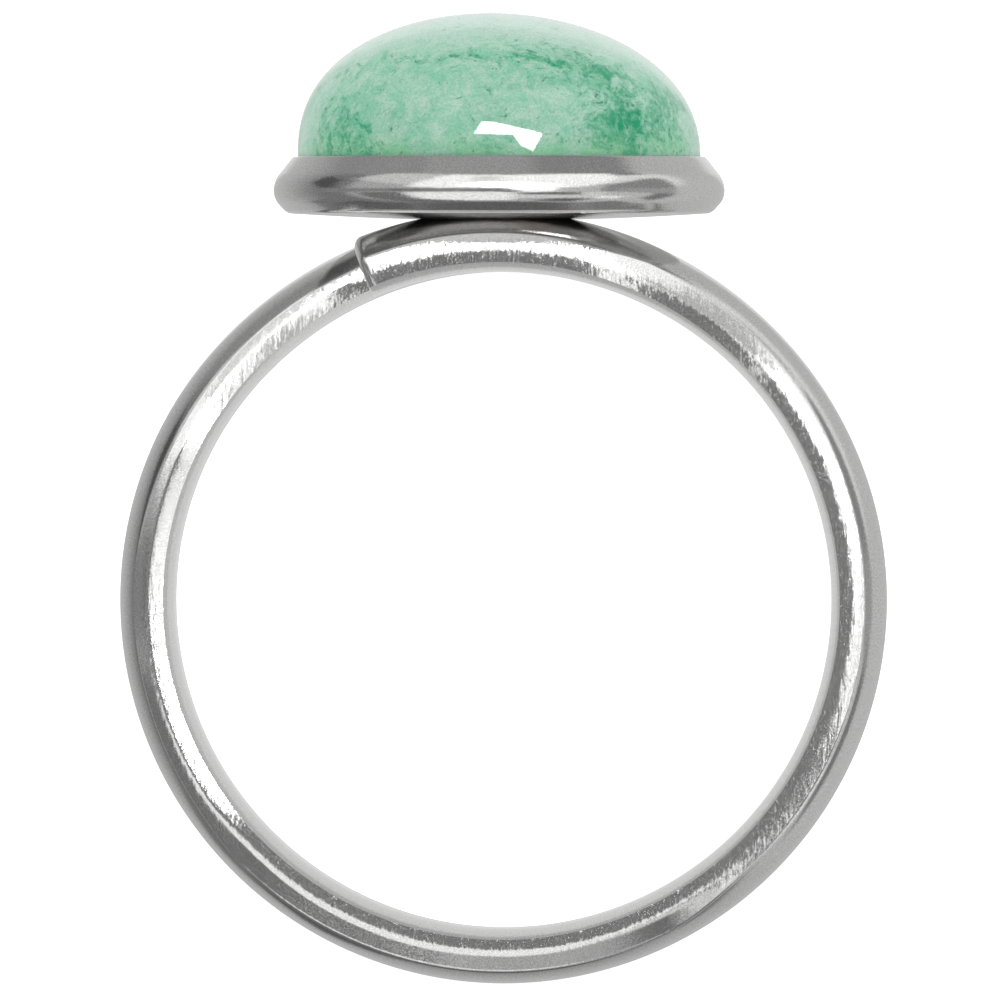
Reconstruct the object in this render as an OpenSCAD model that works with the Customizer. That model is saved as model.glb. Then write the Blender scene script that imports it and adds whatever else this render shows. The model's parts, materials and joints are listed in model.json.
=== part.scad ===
// Finger ring with a round aventurine cabochon, in millimetres.
// A domed band has its two ends lapped side by side at the top, and a rounded cup that holds
// the stone is soldered across them. Band and cup are one solid, and the stone is another.
//
// Everything is first drawn upright, as worn: X runs across the finger, Y from the finger
// out to the stone, and Z along the finger towards the front. rest_pose() then lays the ring
// on its back, where it leans on the bulge of the cup and on the far edge of the band.

/* [Band] */
// Inside diameter of the band
bore_d = 16.24; // [15.5:0.02:20]
// Width of the band along the finger
band_w = 2.6; // [2.2:0.1:3.2]
// Thickness of the band at the middle of its width
band_t = 1.38; // [1.3:0.02:1.6]
// Radius of the dome across the outside of the band
dome_r = 2.1; // [1.9:0.1:3]
// Rounding of the two edges along the inside
inner_edge_r = 0.34; // [0.24:0.02:0.4]
// Rounding between the sides of the band and its dome
outer_edge_r = 0.22; // [0.14:0.02:0.3]

/* [Lapped ends] */
// Angle past the top of the ring at which the front end is cut off
front_end_a = 22.5; // [18:0.5:30]
// Angle past the top at which the back end is cut off
back_end_a = 10; // [6:1:20]
// Angle over which each end swings sideways, out of the other's way
swing_a = 26; // [24:1:28]
// Gap between the two ends where they lie side by side
lap_gap = 0.06; // [0.04:0.01:0.12]
// Extra height of the front end above the round of the band
front_proud = 0.14; // [0:0.01:0.2]
// Rounding of the outer corner of each cut end
end_round = 0.26; // [0.1:0.02:0.4]

/* [Cup] */
// Distance from the finger's axis to the rim of the cup
rim_y = 10.965; // [10.9:0.005:11]
// Sideways shift of the cup from the middle of the band
cup_x = -0.1; // [-0.2:0.05:0.2]
// Radius of the rim, at the foot of the stone
rim_r = 5.1; // [5.1:0.01:5.2]
// Largest radius, at the bulge of the side
bulge_r = 5.58; // [5.5:0.01:5.7]
// Depth of the bulge below the rim
bulge_depth = 0.84; // [0.8:0.02:0.9]
// Rounding of the side above the bulge
upper_round = 0.68; // [0.6:0.02:0.7]
// Rounding of the side below the bulge
lower_round = 0.565; // [0.5:0.005:0.6]
// Radius of the slight dome on the underside
underside_r = 48; // [40:1:60]
// Depth of the floor under the stone, below the rim
floor_depth = 1.0; // [0.95:0.01:1.05]

/* [Stone] */
// Radius of the stone at its girdle
stone_r = 5.0; // [4.95:0.01:5]
// Height of the dome above the rim of the cup
dome_h = 3.56; // [3:0.02:4]
// Radius of the crown of the dome
crown_r = 7.5; // [7:0.1:8]
// Radius of the dome's shoulder
shoulder_r = 3.4; // [3.2:0.05:3.5]
// Clearance between the stone and the cup
stone_gap = 0.04; // [0.03:0.01:0.05]
// Bevel round the foot of the stone
foot_bevel = 0.2; // [0.1:0.05:0.3]

/* [Hidden] */
$fn = 120;

bore_r = bore_d / 2;
outer_r = bore_r + band_t;
half_w = band_w / 2;

// Section of the band. Each centre is [distance from the finger's axis, height along it].
// The inner rounding meets the bore at inner_edge_a, so the two cross cleanly.
inner_edge_a = 30;
inner_edge_c = [bore_r + inner_edge_r * cos(inner_edge_a), half_w - inner_edge_r];
dome_c = [outer_r - dome_r, 0];
outer_edge_z = half_w - outer_edge_r;
outer_edge_c = [dome_c[0] + sqrt(pow(dome_r - outer_edge_r, 2) - pow(outer_edge_z, 2)), outer_edge_z];
dome_edge_a = asin(outer_edge_z / (dome_r - outer_edge_r));

// Lapped ends. An end has swung fully aside a little before it reaches the other one.
lap_margin_a = 2;
top_a = 90;
side_shift = half_w + lap_gap / 2;
swing_rings = 12;
edge_steps = 3;
dome_steps = 8;
round_steps = 4;
cup_steps = 10;
stone_steps = 16;

// Section of the cup: [distance from its own axis, height above the rim].
upper_c = [bulge_r - upper_round, -bulge_depth];
lower_c = [bulge_r - lower_round, -bulge_depth];
under_a = asin(lower_c[0] / (underside_r - lower_round));
underside_c = [0, lower_c[1] + (underside_r - lower_round) * cos(under_a)];
// Slope of the flank that runs from the rim, touching the upper rounding
rim_reach = norm([rim_r - upper_c[0], bulge_depth]);
flank_a = atan2(bulge_depth, rim_r - upper_c[0]) - acos(upper_round / rim_reach);
pocket_r = stone_r + stone_gap;

// Section of the stone's dome.
crown_c = [0, dome_h - crown_r];
shoulder_x = stone_r - shoulder_r;
shoulder_c = [shoulder_x, crown_c[1] + sqrt(pow(crown_r - shoulder_r, 2) - pow(shoulder_x, 2))];
shoulder_a = asin(shoulder_x / (crown_r - shoulder_r));
foot_h = stone_gap - floor_depth;

// Rest. The ring leans on the lower rounding of the cup and on the edge rounding of the band
// opposite, so these two are level when it is turned by lean_a about X.
lean_y = rim_y + lower_c[1] + outer_edge_c[0];
lean_z = lower_c[0] - outer_edge_z;
lean_a = atan2(lean_z, lean_y) + asin((lower_round - outer_edge_r) / norm([lean_y, lean_z]));
rest_z = outer_edge_c[0] * sin(lean_a) + outer_edge_z * cos(lean_a) + outer_edge_r;
// The origin is below the middle of the outline, halfway from the back of the band to the dome.
back_y = -dome_c[0] * cos(lean_a) - dome_r;
front_y = (rim_y + crown_c[1]) * cos(lean_a) + crown_r;
rest_y = -(back_y + front_y) / 2;

// A point on a circle about centre c, and the points along an arc from angle a0 to angle a1
function arc_point(c, r, a) = c + r * [cos(a), sin(a)];
function arc(c, r, a0, a1, steps) =
    [for (i = [0:steps]) arc_point(c, r, a0 + (a1 - a0) * i / steps)];

// One half of the band's outline, from the bore over the front side to the top of the dome
function half_section() = concat(
    arc(inner_edge_c, inner_edge_r, 180 - inner_edge_a, 90, edge_steps),
    arc(outer_edge_c, outer_edge_r, 90, dome_edge_a, edge_steps),
    [for (i = [1:dome_steps]) arc_point(dome_c, dome_r, dome_edge_a * (1 - i / dome_steps))]);

// The whole outline: the front half, then its mirror image without the shared top point
function band_section() = let (half = half_section(), top = len(half) - 1)
    concat(half, [for (i = [top - 1:-1:0]) [half[i][0], -half[i][1]]]);

// Smooth step from 0 to 1
function ease(t) = let (u = min(1, max(0, t))) u * u * (3 - 2 * u);

// Share of the thickness left at d millimetres before a cut end with a rounded corner
function end_share(d) = d >= end_round ? 1
    : 1 - (end_round - sqrt(pow(end_round, 2) - pow(end_round - d, 2))) / band_t;

// One end of the band, drawn as the front one: it comes up the right-hand side, swings
// towards the front, and passes the top by end_a. clear_a is how far the other end comes.
module lapped_end(end_a, clear_a, proud) {
    start = top_a - clear_a - lap_margin_a - swing_a;
    stop = top_a + end_a;
    round_a = end_round / outer_r * 180 / PI;
    swept_a = stop - round_a - start;
    rings = ceil(swept_a / swing_a * swing_rings);
    angles = concat(
        [for (i = [0:rings]) start + swept_a * i / rings],
        [for (i = [1:round_steps]) stop - round_a * (1 - sin(90 * i / round_steps))]);
    outline = band_section();
    count = len(outline);
    points = [for (a = angles) let (
            share = ease((a - start) / swing_a),
            left = end_share((stop - a) * outer_r * PI / 180),
            rise = (1 + proud * ease((a - start) / swept_a) / band_t) * left)
        for (p = outline) let (r = bore_r + (p[0] - bore_r) * rise)
            [r * cos(a), r * sin(a), p[1] + side_shift * share]];
    last = len(angles) - 1;
    polyhedron(points, concat(
        [[for (k = [0:count - 1]) k]],
        [[for (k = [count - 1:-1:0]) last * count + k]],
        [for (i = [0:last - 1]) for (k = [0:count - 1]) let (
                here = i * count + k,
                next = i * count + (k + 1) % count)
            each [[here, here + count, next], [next, here + count, next + count]]]));
}

module band() {
    from_a = top_a + front_end_a + lap_margin_a + swing_a;
    to_a = 360 + top_a - back_end_a - lap_margin_a - swing_a;
    rotate([0, 0, from_a]) rotate_extrude(angle = to_a - from_a) polygon(band_section());
    lapped_end(front_end_a, back_end_a, front_proud);
    rotate([0, 180, 0]) lapped_end(back_end_a, front_end_a, 0);
}

// A round piece that stands at the top of the ring, from its outline [radius, height over the rim]
module stand_on_cup(outline) {
    translate([cup_x, rim_y, 0]) rotate([-90, 0, 0]) rotate_extrude() polygon(outline);
}

module cup() {
    stand_on_cup(concat(
        [[0, -floor_depth], [pocket_r, -floor_depth], [pocket_r, 0], [rim_r, 0]],
        arc(upper_c, upper_round, flank_a, 0, cup_steps),
        [for (i = [1:cup_steps]) arc_point(lower_c, lower_round, -(90 - under_a) * i / cup_steps)],
        [for (i = [1:cup_steps]) arc_point(underside_c, underside_r, -90 + under_a * (1 - i / cup_steps))]));
}

module rest_pose() {
    translate([0, rest_y, rest_z]) rotate([lean_a, 0, 0]) children();
}

module band_and_cup() {
    color("silver") rest_pose() union() {
        band();
        cup();
    }
}

module cabochon() {
    color("mediumaquamarine") rest_pose() stand_on_cup(concat(
        [[0, foot_h], [stone_r - foot_bevel, foot_h], [stone_r, foot_h + foot_bevel]],
        arc(shoulder_c, shoulder_r, 0, 90 - shoulder_a, stone_steps),
        [for (i = [1:stone_steps]) arc_point(crown_c, crown_r, 90 - shoulder_a * (1 - i / stone_steps))]));
}

band_and_cup();
cabochon();
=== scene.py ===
import json
import math

import bpy
from mathutils import Matrix, Vector


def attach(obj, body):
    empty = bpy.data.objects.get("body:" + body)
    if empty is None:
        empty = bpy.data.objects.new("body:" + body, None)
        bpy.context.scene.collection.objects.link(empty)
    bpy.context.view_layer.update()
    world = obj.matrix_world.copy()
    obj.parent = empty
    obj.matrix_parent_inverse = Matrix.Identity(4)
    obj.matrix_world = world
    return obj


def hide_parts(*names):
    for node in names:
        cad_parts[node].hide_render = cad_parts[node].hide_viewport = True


MM = 0.001

# Band: radii from the finger's axis and heights along it. HALF_W is at the highest line of the
# side face. The mouth of the bore flares on an arc up to the inner edge, and the side face ends
# at the rounded shoulder of the dome, a small crease short of where the two would cross.
BORE_R = 8.12
OUTER_R = 9.5
BAND_T = OUTER_R - BORE_R
HALF_W = 1.35
INNER_EDGE_R = 8.35
MOUTH_CURVE_R = 2.6
DOME_R = 1.9
SHOULDER_R = 1.6
SHOULDER_A = 30.0
CREASE = 0.025
# The side face was filed by hand, so its tilt outwards, in degrees at these radii, changes round
# the band. Each set of tilts is named after its place as seen from the front, and the stops say
# which one the face has at an angle from the +X side over the top.
SIDE_RADII = (INNER_EDGE_R, 8.50, 8.59, 8.63, 8.71, 8.76, 8.90, 9.15)
RIGHT = (-1, 0, 1, 4.5, 7.5, 10, 14, 18)
LOWER_RIGHT = (-1, 0, 2, 5, 5.5, 6, 7, 10)
ARM = (-1, 0, 1.5, 6, 8, 9, 13, 20)
UPPER_LEFT = (-12, -11, -10, -9, -8, 12, 16, 20)
SWING = (0, 0, 0, 3, 11, 16, 20, 22)
LEFT = (-12, -11, -10, -9, -8, 20, 28, 29)
LOWER = (-2, 0, 1, 9, 19, 31, 31, 31)
SIDE_STOPS = [
    (0, RIGHT), (34, RIGHT), (46, SWING), (68, SWING), (80, ARM), (112, ARM),
    (121, UPPER_LEFT), (148, UPPER_LEFT), (178, LEFT), (212, LEFT), (226, LOWER), (296, LOWER),
    (314, LOWER_RIGHT), (336, LOWER_RIGHT), (350, RIGHT), (360, RIGHT),
]

# Lapped ends, in degrees over the top: the front one from the +X side and the back one from the
# -X side. Each swings aside over SWING_A on its way to the cut at STOP_A.
FRONT_STOP_A = 112.5
FRONT_START_A = 36.0
FRONT_SWING_A = 42.0
BACK_STOP_A = 100.0
BACK_START_A = 23.5
BACK_SWING_A = 42.0
LAP_SHIFT = 1.38
FRONT_PROUD = 0.14
END_ROUND = 0.26

# Fineness of the band's mesh: degrees between sections, sections in an end's rounded corner,
# points of a section on the mouth and on the side face, steps between two of the side's radii,
# and how often the search for the crease halves its range
STEP_A = 0.75
END_RINGS = 10
MOUTH_STEPS = 10
SIDE_POINTS = 22
SIDE_STEPS = 8
HALVINGS = 30

# Cup, with heights from the rim's level. Below the bulge its side rounds in, runs straight for
# LOWER_SLOPE at LOWER_SLOPE_A and turns under at the foot.
RIM_Y = 10.965
CUP_X = -0.1
RIM_R = 5.1
LIP_ROUND = 0.03
BULGE_R = 5.58
BULGE_DEPTH = 0.84
UPPER_ROUND = 0.68
LOWER_ROUND = 0.5
LOWER_SLOPE_A = 42.0
LOWER_SLOPE = 0.177
FOOT_ROUND = 0.3
UNDERSIDE_R = 80.0
FLOOR_DEPTH = 1.0
POCKET_RING_H = -0.2
TURN_STEPS = 256

# Stone: a superellipse of revolution, with one power along its height and one for its walls,
# whose top leans a little to one side
STONE_R = 4.985
DOME_H = 3.56
DOME_POWER = 2.275
WALL_POWER = 1.996
APEX_LEAN = -0.22
LEAN_POWER = 1.5
FOOT_H = -0.96
FOOT_BEVEL = 0.2
DOME_RINGS = 72

# Camera, as worn, and the width that it takes in at the ring
CAMERA_AT = (12.6, 8.5, 300.0)
CAMERA_AIM = (-0.079, 2.475, 0.0)
FIELD = 24.75
SENSOR = 36.0

FLOOR_HALF = 1500.0


def worn_frame(record):
    """The matrix from worn metres to the row frame, from the bore that the record states."""
    bore = record["mounts"][0]
    along = Vector(bore["axis"]).normalized()
    across = Vector((1, 0, 0))
    up = along.cross(across)
    turn = Matrix((across, up, along)).transposed().to_4x4()
    return Matrix.Translation(Vector(bore["pos_m"])) @ turn


# Curves


def on_circle(centre, radius, degrees):
    a = math.radians(degrees)
    return centre[0] + radius * math.cos(a), centre[1] + radius * math.sin(a)


def arc(centre, radius, start, stop, steps):
    return [on_circle(centre, radius, start + (stop - start) * i / steps) for i in range(steps + 1)]


def ease(t):
    t = min(1.0, max(0.0, t))
    return t * t * (3 - 2 * t)


# Meshes


def lofted(name, rings, creases, material):
    """A closed mesh through equal rings of points, with one face at each end. creases are the
    places along a ring where an edge stays sharp."""
    count = len(rings[0])
    points = [p for ring in rings for p in ring]
    faces = []
    for i in range(len(rings) - 1):
        here, there = i * count, (i + 1) * count
        for k in range(count):
            n = (k + 1) % count
            faces.append((here + k, there + k, there + n, here + n))
    faces.append(tuple(range(count)))
    faces.append(tuple(range((len(rings) - 1) * count, len(rings) * count))[::-1])
    made = make_object(name, points, faces, material)
    for edge in made.data.edges:
        a, b = (v % count for v in edge.vertices)
        edge.use_edge_sharp = a == b and a in creases
    return made


def turned(name, outline, material, lean=None):
    """A closed mesh from an outline [radius, height] that starts on the cup's axis, where it is
    lowest, and ends on it."""
    rings = outline[1:-1]
    points = []
    for radius, height in rings:
        shift = lean(height) if lean else 0.0
        for k in range(TURN_STEPS):
            a = 2 * math.pi * k / TURN_STEPS
            points.append((CUP_X + shift + radius * math.cos(a), RIM_Y + height, radius * math.sin(a)))
    faces = []
    for i in range(len(rings) - 1):
        for k in range(TURN_STEPS):
            n = (k + 1) % TURN_STEPS
            a, b = i * TURN_STEPS, (i + 1) * TURN_STEPS
            faces.append((a + k, b + k, b + n, a + n))
    for end, ring in ((outline[0], 0), (outline[-1], len(rings) - 1)):
        shift = lean(end[1]) if lean else 0.0
        points.append((CUP_X + shift, RIM_Y + end[1], 0.0))
        tip, base = len(points) - 1, ring * TURN_STEPS
        for k in range(TURN_STEPS):
            n = (k + 1) % TURN_STEPS
            faces.append((tip, base + k, base + n) if ring == 0 else (tip, base + n, base + k))
    return make_object(name, points, faces, material)


def make_object(name, points, faces, material):
    mesh = bpy.data.meshes.new(name)
    mesh.from_pydata([tuple(v * MM for v in p) for p in points], [], faces)
    mesh.validate()
    mesh.update()
    mesh.shade_smooth()
    mesh.materials.append(material)
    made = bpy.data.objects.new(name, mesh)
    bpy.context.scene.collection.objects.link(made)
    return made


def place(made, worn, node):
    """Carries a piece into the row frame, where it takes the place of a CAD node."""
    made.data.transform(worn)
    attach(made, "root")
    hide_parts(node)


# Band


def side_tilts(angle):
    """Tilt of the side face at each of its radii, at an angle round the band."""
    around = angle % 360
    for (low, before), (high, after) in zip(SIDE_STOPS, SIDE_STOPS[1:]):
        if around <= high:
            share = ease((around - low) / (high - low))
            return [a + (b - a) * share for a, b in zip(before, after)]


def side_line(tilts):
    """Points down the side face from its inner edge, in small steps."""
    line = [(SIDE_RADII[0], 0.0)]
    for r0, r1, t0, t1 in zip(SIDE_RADII, SIDE_RADII[1:], tilts, tilts[1:]):
        for i in range(SIDE_STEPS):
            tilt = math.radians(t0 + (t1 - t0) * (i + 0.5) / SIDE_STEPS)
            step = (r1 - r0) / SIDE_STEPS
            line.append((line[-1][0] + step, line[-1][1] - step * math.tan(tilt)))
    top = max(z for r, z in line)
    return [(r, z + HALF_W - top) for r, z in line]


def at_radius(line, r):
    """Height of the side face at a radius."""
    for (r0, z0), (r1, z1) in zip(line, line[1:]):
        if r <= r1:
            return z0 + (z1 - z0) * (r - r0) / (r1 - r0)


def crease_radius(line, shoulder):
    """Where the side face would cross the shoulder's circle."""
    low, high = SIDE_RADII[-3], SIDE_RADII[-1]
    for _ in range(HALVINGS):
        middle = (low + high) / 2
        rise = math.sqrt(SHOULDER_R**2 - (middle - shoulder[0]) ** 2)
        if shoulder[1] + rise > at_radius(line, middle):
            low = middle
        else:
            high = middle
    return low


def band_half(angle):
    """Half of the band's section, from the bore over the front side to the top of the dome."""
    dome = (OUTER_R - DOME_R, 0.0)
    turn = on_circle(dome, DOME_R, SHOULDER_A)
    shoulder = on_circle(turn, SHOULDER_R, SHOULDER_A + 180)
    line = side_line(side_tilts(angle))
    crease = crease_radius(line, shoulder)
    start_a = math.degrees(math.acos((crease + CREASE - shoulder[0]) / SHOULDER_R))
    step = (crease - CREASE - INNER_EDGE_R) / SIDE_POINTS
    side = [INNER_EDGE_R + step * i for i in range(1, SIDE_POINTS + 1)]
    mouth = (BORE_R + MOUTH_CURVE_R, 0.0)
    mouth_stop = 180 - math.degrees(math.acos((mouth[0] - INNER_EDGE_R) / MOUTH_CURVE_R))
    drop = line[0][1] - on_circle(mouth, MOUTH_CURVE_R, mouth_stop)[1]
    return (
        [(r, z + drop) for r, z in arc(mouth, MOUTH_CURVE_R, 180, mouth_stop, MOUTH_STEPS)]
        + [(r, at_radius(line, r)) for r in side]
        + arc(shoulder, SHOULDER_R, start_a, SHOULDER_A, steps=6)
        + arc(dome, DOME_R, SHOULDER_A, 0, steps=12)[1:]
    )


def end_loss(d):
    """What the rounded corner of a cut end has taken off at d millimetres before it."""
    return END_ROUND - math.sqrt(END_ROUND**2 - max(0.0, END_ROUND - d) ** 2)


def band_angles():
    """Angles of the sections, from the front end back round to the other end."""
    round_a = math.degrees(END_ROUND / OUTER_R)
    first, last = FRONT_STOP_A - round_a, -(180 + BACK_STOP_A) + round_a
    corner = [round_a * (1 - math.sin(math.pi / 2 * i / END_RINGS)) for i in range(END_RINGS, 0, -1)]
    steps = math.ceil((first - last) / STEP_A)
    middle = [first + (last - first) * i / steps for i in range(steps + 1)]
    return [FRONT_STOP_A - a for a in corner] + middle + [last - round_a + a for a in corner[::-1]]


def band_ring(angle):
    """The section at an angle, swung aside and raised where it belongs to a lapped end."""
    half = band_half(angle)
    outline = half + [(r, -z) for r, z in half[-2::-1]]
    shift, raised, loss = 0.0, 0.0, 0.0
    back_angle = -180 - angle
    if angle > FRONT_START_A:
        shift = LAP_SHIFT * ease((angle - FRONT_START_A) / FRONT_SWING_A)
        raised = FRONT_PROUD * ease((angle - FRONT_START_A) / (FRONT_STOP_A - FRONT_START_A))
        loss = end_loss(math.radians(FRONT_STOP_A - angle) * OUTER_R)
    elif back_angle > BACK_START_A:
        shift = -LAP_SHIFT * ease((back_angle - BACK_START_A) / BACK_SWING_A)
        loss = end_loss(math.radians(BACK_STOP_A - back_angle) * OUTER_R)
    rise = (1 + raised / BAND_T) * (1 - loss / BAND_T)
    a = math.radians(angle)
    ring = []
    for r, z in outline:
        r = BORE_R + (r - BORE_R) * rise
        ring.append((r * math.cos(a), r * math.sin(a), z * (1 - loss / HALF_W) + shift))
    return ring


def make_band(silver):
    rings = [band_ring(a) for a in band_angles()]
    return lofted("band", rings, (MOUTH_STEPS, len(rings[0]) - 1 - MOUTH_STEPS), silver)


# Cup and stone


def make_cup(silver):
    """The cup, worked out from the middle of the pocket's floor over the lip and round to the
    middle of the underside, and turned from there back."""
    upper = (BULGE_R - UPPER_ROUND, -BULGE_DEPTH)
    lower = (BULGE_R - LOWER_ROUND, -BULGE_DEPTH)
    bend = on_circle(lower, LOWER_ROUND - FOOT_ROUND, -LOWER_SLOPE_A)
    slope = math.radians(LOWER_SLOPE_A)
    foot = (bend[0] - LOWER_SLOPE * math.sin(slope), bend[1] - LOWER_SLOPE * math.cos(slope))
    under_a = math.degrees(math.asin(foot[0] / (UNDERSIDE_R - FOOT_ROUND)))
    under = (0.0, foot[1] + (UNDERSIDE_R - FOOT_ROUND) * math.cos(math.radians(under_a)))
    reach = math.hypot(RIM_R - upper[0], BULGE_DEPTH)
    flank_a = math.degrees(math.atan2(BULGE_DEPTH, RIM_R - upper[0]) - math.acos(UPPER_ROUND / reach))
    flank = math.radians(flank_a)
    lip = (RIM_R - LIP_ROUND * (1 - math.sin(flank)) / math.cos(flank), -LIP_ROUND)
    pocket_r = lip[0] - LIP_ROUND
    high, low = on_circle(lip, LIP_ROUND, flank_a), on_circle(upper, UPPER_ROUND, flank_a)
    flank_points = [
        (high[0] + (low[0] - high[0]) * share, high[1] + (low[1] - high[1]) * share)
        for share in (0.1, 0.5, 0.9)
    ]
    outline = (
        [(0.0, -FLOOR_DEPTH), (pocket_r / 2, -FLOOR_DEPTH), (pocket_r, -FLOOR_DEPTH)]
        + [(pocket_r, POCKET_RING_H)]
        + arc(lip, LIP_ROUND, 180, flank_a, steps=6)
        + flank_points
        + arc(upper, UPPER_ROUND, flank_a, 0, steps=20)
        + arc(lower, LOWER_ROUND, 0, -LOWER_SLOPE_A, steps=16)[1:]
        + arc(foot, FOOT_ROUND, -LOWER_SLOPE_A, -(90 - under_a), steps=12)
        + arc(under, UNDERSIDE_R, -90 + under_a, -90, steps=16)[1:]
    )
    outline[-1] = (0.0, outline[-1][1])
    return turned("cup", outline[::-1], silver)


def stone_lean(height):
    """How far the stone leans aside at a height."""
    return APEX_LEAN * max(0.0, height / DOME_H) ** LEAN_POWER


def make_stone(stone):
    outline = [
        (0.0, FOOT_H),
        (STONE_R / 2, FOOT_H),
        (STONE_R - FOOT_BEVEL, FOOT_H),
        (STONE_R, FOOT_H + FOOT_BEVEL),
    ]
    for i in range(DOME_RINGS):
        t = math.pi / 2 * i / DOME_RINGS
        radius = STONE_R * math.cos(t) ** (2 / WALL_POWER)
        outline.append((radius, DOME_H * math.sin(t) ** (2 / DOME_POWER)))
    outline.append((0.0, DOME_H))
    return turned("stone", outline, stone, stone_lean)


# Shader nodes


class Graph:
    """Adds nodes to a shader tree and links them."""

    def __init__(self, tree):
        self.tree = tree
        tree.nodes.clear()

    def node(self, kind, inputs=(), **settings):
        made = self.tree.nodes.new(kind)
        for name, value in settings.items():
            setattr(made, name, value)
        for key, value in dict(inputs).items():
            self.feed(made.inputs[key], value)
        return made

    def feed(self, socket, value):
        if isinstance(value, bpy.types.NodeSocket):
            self.tree.links.new(value, socket)
        else:
            socket.default_value = value

    def math(self, operation, *values):
        return self.node("ShaderNodeMath", enumerate(values), operation=operation).outputs[0]

    def vector(self, operation, *values):
        made = self.node("ShaderNodeVectorMath", enumerate(values), operation=operation)
        return made.outputs["Value" if operation in ("DOT_PRODUCT", "LENGTH") else "Vector"]

    def scale(self, vector, amount):
        made = self.node("ShaderNodeVectorMath", {0: vector, "Scale": amount}, operation="SCALE")
        return made.outputs["Vector"]

    def push(self, colour, amount):
        """A noise's colour as a push either way, by up to half the amount along each axis."""
        return self.scale(self.vector("SUBTRACT", colour, (0.5, 0.5, 0.5)), amount)

    def step(self, value, low, high, to_low=0.0, to_high=1.0):
        """A smooth step of value from low to high."""
        inputs = {"Value": value, "From Min": low, "From Max": high, "To Min": to_low, "To Max": to_high}
        made = self.node("ShaderNodeMapRange", inputs, interpolation_type="SMOOTHSTEP")
        return made.outputs["Result"]

    def mix(self, share, a, b):
        made = self.node("ShaderNodeMix", {0: share, 6: a, 7: b}, data_type="RGBA")
        return made.outputs[2]

    def noise(self, where, scale, detail=2.0, roughness=0.5):
        inputs = {"Vector": where, "Scale": scale, "Detail": detail, "Roughness": roughness}
        return self.node("ShaderNodeTexNoise", inputs).outputs["Fac"]

    def worn_place(self, worn):
        """The place on the ring as worn, in millimetres."""
        inputs = {
            "Vector": self.node("ShaderNodeTexCoord").outputs["Object"],
            "Location": worn.translation,
            "Rotation": worn.to_euler(),
            "Scale": (MM, MM, MM),
        }
        return self.node("ShaderNodeMapping", inputs, vector_type="TEXTURE").outputs[0]

    def near(self, where, centre, radius):
        """1 at a place, falling to 0 at radius from it."""
        return self.step(self.vector("LENGTH", self.vector("SUBTRACT", where, centre)), radius, 0.0)

    def end(self, kind, shader):
        self.tree.links.new(shader, self.node(kind).inputs["Surface"])


def grey(value):
    return (value, value, value, 1.0)


def new_material(name):
    made = bpy.data.materials.new(name)
    made.use_nodes = True
    return made, Graph(made.node_tree)


# Materials


SILVER = (0.76, 0.757, 0.753, 1.0)
# Where the heat of soldering left a brownish tinge, and its colour
HEATED = (0.70, 0.655, 0.615, 1.0)
SOLDER_AT = (0.8, 9.3, 1.6)
SOLDER_REACH = 1.5
# Where the file marks on the side face were rubbed smooth
RUBBED_AT = (-8.3, 2.4, 1.3)
RUBBED_REACH = 3.4
# How much a face looks along the finger where it starts and has fully become a side face, and
# the heights as worn over which the marks end below the cup
SIDE_FACING = (0.84, 0.95)
MARKS_END_Y = (9.55, 9.35)
# How far the file marks bend the light across the finger and up it, and the grain any way
MARKS_ACROSS = 0.3
MARKS_UP = 0.34
GRAIN_PUSH = 0.08


def silver_material(worn):
    """Polished silver: fine grain all over, and file marks that run up and down the side faces."""
    made, g = new_material("silver")
    across, up, along = (tuple(worn.col[i].xyz) for i in range(3))
    where = g.worn_place(worn)
    normal = g.node("ShaderNodeNewGeometry").outputs["Normal"]
    facing = g.math("ABSOLUTE", g.vector("DOT_PRODUCT", normal, along))
    side = g.step(facing, *SIDE_FACING)
    on_band = g.step(g.node("ShaderNodeSeparateXYZ", {0: where}).outputs["Y"], *MARKS_END_Y)
    rubbed = g.near(where, RUBBED_AT, RUBBED_REACH)
    filed = g.math("MULTIPLY", g.math("MULTIPLY", side, on_band), g.math("SUBTRACT", 1.0, rubbed))
    strokes = g.noise(g.vector("MULTIPLY", where, (15.0, 1.6, 3.0)), 1.0, 3.0, 0.6)
    jags = g.noise(g.vector("MULTIPLY", where, (15.0, 5.0, 3.0)), 1.0, 3.0, 0.65)
    grain = g.node("ShaderNodeTexNoise", {"Vector": where, "Scale": 26.0, "Detail": 1.0})
    bent = g.vector("ADD", normal, g.push(grain.outputs["Color"], GRAIN_PUSH))
    for axis, marks, amount in ((across, strokes, MARKS_ACROSS), (up, jags, MARKS_UP)):
        slant = g.math("MULTIPLY", g.math("SUBTRACT", marks, 0.5), g.math("MULTIPLY", filed, amount))
        bent = g.vector("ADD", bent, g.scale(axis, slant))
    heated = g.near(where, SOLDER_AT, SOLDER_REACH)
    tint = g.mix(g.math("MULTIPLY", heated, 0.8), SILVER, HEATED)
    dust = g.noise(where, 34.0, 1.0)
    shader = g.node("ShaderNodeBsdfPrincipled", {
        "Base Color": g.mix(g.step(dust, 0.35, 0.65, 0.2, 0.0), tint, grey(0.0)),
        "Metallic": 1.0,
        "Roughness": g.step(grain.outputs["Fac"], 0.3, 0.8, 0.11, 0.2),
        "Normal": g.vector("NORMALIZE", bent),
    })
    g.end("ShaderNodeOutputMaterial", shader.outputs["BSDF"])
    return made


# Where the stone's deeper green gathers: centre, how far it reaches, and how strongly
DEEP_ZONES = [
    ((3.2, 12.2, 3.6), 2.1, 0.24),
    ((3.2, 11.3, 3.9), 1.9, 0.20),
    ((4.4, 11.6, 2.2), 1.7, 0.26),
    ((1.4, 13.3, 3.4), 1.7, 0.18),
    ((-4.0, 11.2, 2.9), 1.9, 0.26),
    ((-3.0, 11.1, 3.8), 1.7, 0.16),
    ((0.3, 11.1, 4.8), 1.6, 0.10),
]
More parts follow.
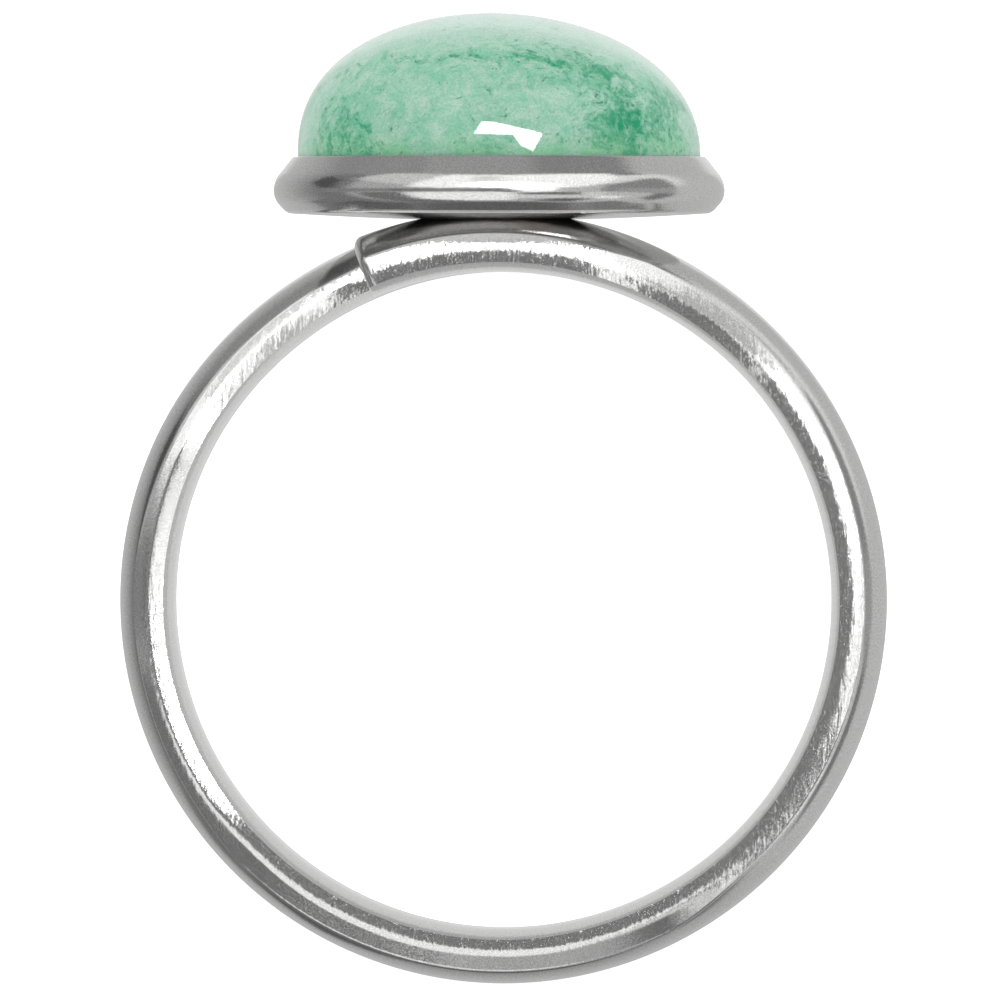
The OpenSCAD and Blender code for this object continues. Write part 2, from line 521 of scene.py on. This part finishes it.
# A darker vein that arches over the front of the stone, in a plane: a normal and its height. Above the
# same plane the top of the stone is painted paler, a painted reflection of the bright room over it.
VEIN_AND_HAZE_NORMAL = (0.06, 0.93, -0.36)
VEIN_AND_HAZE_AT = 11.08
# Greens of the stone, with the painted reflection on its top and the painted sheen of its rims, and how
# far the clouds are warped, in millimetres
DEEP_CLOUD = (0.165, 0.455, 0.30, 1.0)
PALE_CLOUD = (0.40, 0.55, 0.46, 1.0)
PAINTED_HAZE_TOP = (0.44, 0.565, 0.50, 1.0)
DARK_ZONE = (0.0, 0.25, 0.11, 1.0)
FRESH_FOOT = (0.19, 0.49, 0.24, 1.0)
FLECK = (0.0, 0.15, 0.075, 1.0)
DARK_GRAIN = (0.06, 0.26, 0.16, 1.0)
PAINTED_RIM_SHEEN = (0.46, 0.56, 0.51, 1.0)
CLOUD_WARP = 1.1


def stone_material(worn):
    """Mint aventurine: cloudy paler and deeper greens, small dark flecks, under a smooth polish, with a
    paler top and paler rims painted in as reflection of the bright room.
    """
    made, g = new_material("aventurine")
    where = g.worn_place(worn)
    height = g.node("ShaderNodeSeparateXYZ", {0: where}).outputs["Y"]
    warp = g.node("ShaderNodeTexNoise", {"Vector": where, "Scale": 1.4, "Detail": 3.0}).outputs["Color"]
    warped = g.vector("ADD", where, g.push(warp, CLOUD_WARP))
    cloud = g.noise(warped, 2.0, 7.0, 0.76)
    colour = g.mix(g.step(cloud, 0.3, 0.7), DEEP_CLOUD, PALE_CLOUD)
    level = g.vector("DOT_PRODUCT", warped, VEIN_AND_HAZE_NORMAL)
    # Above the plane the colour goes paler and greyer: a painted reflection, the haze of the bright room
    # mirrored in the stone's top.
    above = g.step(level, VEIN_AND_HAZE_AT + 0.1, VEIN_AND_HAZE_AT + 1.3)
    colour = g.mix(g.math("MULTIPLY", above, 0.8), colour, PAINTED_HAZE_TOP)
    vein = g.step(g.math("ABSOLUTE", g.math("SUBTRACT", level, VEIN_AND_HAZE_AT)), 0.3, 0.0)
    zones = g.math("MULTIPLY_ADD", g.noise(warped, 3.0, 7.0, 0.8), 1.8, -0.42)
    for centre, radius, strength in DEEP_ZONES:
        zones = g.math("MULTIPLY_ADD", g.near(warped, centre, radius), strength, zones)
    zones = g.math("MULTIPLY_ADD", vein, 0.2, zones)
    colour = g.mix(g.step(zones, 0.5, 1.0), colour, DARK_ZONE)
    patches = g.step(g.noise(warped, 1.2), 0.3, 0.7)
    foot = g.math("MULTIPLY", g.step(height, RIM_Y + 0.7, RIM_Y), patches)
    colour = g.mix(g.math("MULTIPLY", foot, 0.6), colour, FRESH_FOOT)
    flecks = g.node("ShaderNodeTexVoronoi", {"Vector": warped, "Scale": 4.2}).outputs["Distance"]
    flecks = g.math("MULTIPLY", g.step(flecks, 0.26, 0.1), g.step(zones, 0.46, 0.64))
    colour = g.mix(g.math("MULTIPLY", flecks, 0.75), colour, FLECK)
    grain = g.noise(where, 18.0, 3.0, 0.8)
    colour = g.mix(g.step(grain, 0.36, 0.6, 0.34, 0.0), colour, DARK_GRAIN)
    # Paler where the stone is seen edge-on: a painted sheen, the bright room reflected at grazing
    # angles.
    rim_sheen = g.step(g.node("ShaderNodeLayerWeight", {"Blend": 0.5}).outputs["Facing"], 0.35, 1.0)
    colour = g.mix(g.math("MULTIPLY", rim_sheen, 0.5), colour, PAINTED_RIM_SHEEN)
    shader = g.node("ShaderNodeBsdfPrincipled", {
        "Base Color": colour,
        "Roughness": 0.05,
        "IOR": 1.54,
        "Subsurface Weight": 0.2,
        "Subsurface Radius": (0.6, 0.9, 0.7),
        "Subsurface Scale": 0.25 * MM,
    })
    g.end("ShaderNodeOutputMaterial", shader.outputs["BSDF"])
    return made


def floor_material():
    """Plain and pale, with a little glow so that the shadows stay faint."""
    made, g = new_material("floor")
    made.cycles.emission_sampling = "NONE"
    shader = g.node("ShaderNodeBsdfPrincipled", {
        "Base Color": grey(0.86),
        "Roughness": 0.9,
        "Specular IOR Level": 0.0,
        "Emission Color": grey(1.0),
        "Emission Strength": 0.6,
    })
    g.end("ShaderNodeOutputMaterial", shader.outputs["BSDF"])
    return made


# Studio


# Soft light, from below and from above as worn, for all rays that aren't mirrored
LIGHT_BELOW, LIGHT_ABOVE = 0.9, 1.4
# What mirrored rays see: first this light all round
ROOM_LIGHT = 0.5
# then the backdrop, in soft steps painted one over the other: a direction as worn, where along it
# the step starts and ends, and its light
BACKDROP = [
    ((0, 0, 1), 0.2, 0.05, 0.22),
    ((0, 0, 1), -0.1, -0.9, 0.57),
    ((1, 0, 0), 0.1, 0.8, 0.64),
    ((0.88, 0.47, 0), 0.86, 0.95, 0.95),
    ((0, 0.35, -1), 0.97, 1.03, 0.85),
    ((0, 1, 0), -0.9, -0.97, 0.14),
]
# and last light panels and dark flags, painted one over the other. Each is a convex outline, in
# degrees as seen from the ring: (round the stone's axis from the front to the right, up towards
# the stone), then how soft its edge is in degrees, and its light. The last two make up the lamp
# that shows in the stone.
PANELS = [
    ([(36, -46), (62, -44), (62, -64), (30, -64)], 6, 0.16),
    ([(-104, -26), (-136, -30), (-140, -46), (-96, -46)], 6, 0.22),
    ([(-96, -44), (-150, -40), (-152, -66), (-96, -66)], 6, 0.13),
    ([(86, -50), (130, -54), (130, -66), (86, -66)], 6, 0.24),
    ([(-84, 50), (-130, 40), (-136, 66), (-84, 72)], 8, 0.33),
    ([(-130, 66), (130, 66), (130, 95), (-130, 95)], 6, 0.38),
    ([(48, 56), (112, 44), (112, 80), (48, 80)], 6, 0.27),
    ([(-88, 35), (-48, 20), (-30, 20), (-30, 62), (-75, 62), (-88, 56)], 6, 0.72),
    ([(-46, 11), (-30, 8), (0, 6.5), (25, 6.5), (42, 9), (60, 24), (80, 44), (92, 56), (60, 64),
      (-36, 64)], 6, 1.3),
    ([(-14, 24), (4, 24), (4, 58), (-14, 58)], 6, 0.92),
    ([(-76, -10), (-42, -10), (-26, -56), (-26, -72), (-76, -72)], 6, 0.2),
    ([(-48, -48), (-30, -60), (12, -61), (12, -12), (-48, -12)], 6, 1.15),
    ([(12, -61), (36, -48), (60, -46), (60, -10), (12, -10)], 6, 0.8),
    ([(13, -27), (46, -27), (46, -11), (13, -13)], 4, 0.22),
    ([(60, -44), (76, -40), (76, -28), (60, -28)], 5, 1.1),
    ([(12, -10), (52, -10), (52, 8), (12, 10)], 5, 0.62),
    ([(56, -8), (104, -12), (106, 34), (90, 34), (62, 20), (56, 8)], 6, 0.3),
    ([(64, -9), (104, -9), (104, 6), (64, 6)], 6, 0.42),
    ([(90, -34), (106, -42), (106, -12), (90, -12)], 5, 0.22),
    ([(-114, 36), (-94, 28), (-92, 6), (-101, 4), (-113, 18)], 5, 0.09),
    ([(-100, -7), (4, -7), (4, 6), (-100, 6)], 4, 0.27),
    ([(-56, -5), (-38, -5), (-38, 5), (-56, 5)], 5, 0.2),
    ([(2, 4), (14, 4), (14, 17), (4, 17)], 4, 0.85),
    ([(-8, -8), (8, -8), (8, 6), (-8, 6)], 5, 0.2),
    ([(4, -14), (11, -14), (12.5, -5), (4, -4)], 4, 0.18),
    ([(10, 12), (11.5, 0), (14, -13), (22, -13), (32, -8), (32, 12)], 4, 1.3),
    ([(-11.9, 16.2), (10.7, 15.8), (27, 18), (24, 19.6), (0.5, 28.3), (-7.5, 28.9)], 0.5, 22.0),
    ([(10.7, 15.8), (14.9, 6.2), (21.7, 2.8), (28.4, 16.8), (27, 18)], 0.5, 22.0),
]
# A pale ring-shaped card on the floor inside the ring, which only mirroring surfaces see
CARD_INNER_R = 4.4
CARD_R = 8.2
CARD_H = 0.02
CARD_LIGHT = 0.78
CARD_STEPS = 72


def panel_mask(g, where, corners, soft):
    """1 inside a convex outline and 0 outside it."""
    winding = sum(a[0] * b[1] - b[0] * a[1] for a, b in zip(corners, corners[1:] + corners[:1]))
    if winding < 0:
        corners = corners[::-1]
    inside = None
    for a, b in zip(corners, corners[1:] + corners[:1]):
        dx, dy = b[0] - a[0], b[1] - a[1]
        length = math.hypot(dx, dy)
        offset = (dy * a[0] - dx * a[1]) / length
        inward = g.vector("DOT_PRODUCT", where, (-dy / length, dx / length, offset))
        inside = inward if inside is None else g.math("MINIMUM", inside, inward)
    return g.step(inside, -soft / 2, soft / 2)


def make_studio(worn):
    """The room that the metal and the polish mirror, and a plain soft light for all the rest."""
    world = bpy.data.worlds.new("studio")
    world.use_nodes = True
    bpy.context.scene.world = world
    g = Graph(world.node_tree)
    way = g.node("ShaderNodeTexCoord").outputs["Generated"]
    across, up, along = (g.vector("DOT_PRODUCT", way, tuple(worn.col[i].xyz)) for i in range(3))
    azimuth = g.math("MULTIPLY", g.math("ARCTAN2", across, along), math.degrees(1))
    elevation = g.math("MULTIPLY", g.math("ARCSINE", up), math.degrees(1))
    where = g.node("ShaderNodeCombineXYZ", {0: azimuth, 1: elevation, 2: 1.0}).outputs[0]
    light = grey(ROOM_LIGHT)
    for direction, low, high, tone in BACKDROP:
        towards = tuple(worn.to_3x3() @ Vector(direction))
        share = g.step(g.vector("DOT_PRODUCT", way, towards), low, high)
        light = g.mix(share, light, grey(tone))
    for corners, soft, strength in PANELS:
        light = g.mix(panel_mask(g, where, corners, soft), light, grey(strength))
    room = g.node("ShaderNodeBackground", {"Color": light}).outputs[0]
    plain = g.mix(g.step(up, -0.8, 0.8), grey(LIGHT_BELOW), grey(LIGHT_ABOVE))
    plain = g.node("ShaderNodeBackground", {"Color": plain}).outputs[0]
    mirrored = g.node("ShaderNodeLightPath").outputs["Is Glossy Ray"]
    shown = g.node("ShaderNodeMixShader", {0: mirrored, 1: plain, 2: room})
    g.end("ShaderNodeOutputWorld", shown.outputs[0])


def make_floor():
    half = FLOOR_HALF
    corners = [(-half, -half, 0), (half, -half, 0), (half, half, 0), (-half, half, 0)]
    floor = make_object("floor", corners, [(0, 1, 2, 3)], floor_material())
    # The metal mirrors the room's tones, which go on below the floor
    floor.visible_glossy = False


def make_card(worn):
    made, g = new_material("card")
    made.cycles.emission_sampling = "NONE"
    glow = g.node("ShaderNodeEmission", {"Color": grey(CARD_LIGHT)})
    g.end("ShaderNodeOutputMaterial", glow.outputs[0])
    centre = worn.translation.xy / MM
    corners = [
        (x, y, CARD_H)
        for radius in (CARD_INNER_R, CARD_R)
        for x, y in arc(centre, radius, 0, 360, CARD_STEPS)[1:]
    ]
    faces = []
    for k in range(CARD_STEPS):
        n = (k + 1) % CARD_STEPS
        faces.append((k, CARD_STEPS + k, CARD_STEPS + n, n))
    card = make_object("card", corners, faces, made)
    for sees in ("camera", "diffuse", "transmission", "shadow", "volume_scatter"):
        setattr(card, "visible_" + sees, False)


def make_camera(worn):
    """The photo's view, from the front as worn and from far off."""
    at, aim = Vector(CAMERA_AT), Vector(CAMERA_AIM)
    back = (at - aim).normalized()
    right = Vector((0, 1, 0)).cross(back).normalized()
    turn = Matrix((right, back.cross(right), back)).transposed().to_4x4()
    data = bpy.data.cameras.new("camera")
    data.sensor_width = SENSOR
    data.lens = SENSOR * (at - aim).length / FIELD
    data.clip_start = 0.01
    made = bpy.data.objects.new("camera", data)
    bpy.context.scene.collection.objects.link(made)
    made.matrix_world = worn @ Matrix.Translation(at * MM) @ turn
    bpy.context.scene.camera = made


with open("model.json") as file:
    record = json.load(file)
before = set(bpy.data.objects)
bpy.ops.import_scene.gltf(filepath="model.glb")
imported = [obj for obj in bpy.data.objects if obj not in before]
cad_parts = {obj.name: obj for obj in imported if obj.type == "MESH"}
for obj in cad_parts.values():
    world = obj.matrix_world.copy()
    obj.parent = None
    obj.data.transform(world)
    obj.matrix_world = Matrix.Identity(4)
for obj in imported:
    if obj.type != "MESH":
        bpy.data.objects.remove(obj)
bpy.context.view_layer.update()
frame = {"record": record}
worn = worn_frame(frame["record"])

silver = silver_material(worn)
place(make_band(silver), worn, "band_and_cup")
place(make_cup(silver), worn, "band_and_cup")
place(make_stone(stone_material(worn)), worn, "cabochon")
make_floor()
make_card(worn)
make_studio(worn)
make_camera(worn)
bpy.context.scene.view_settings.view_transform = "Standard"
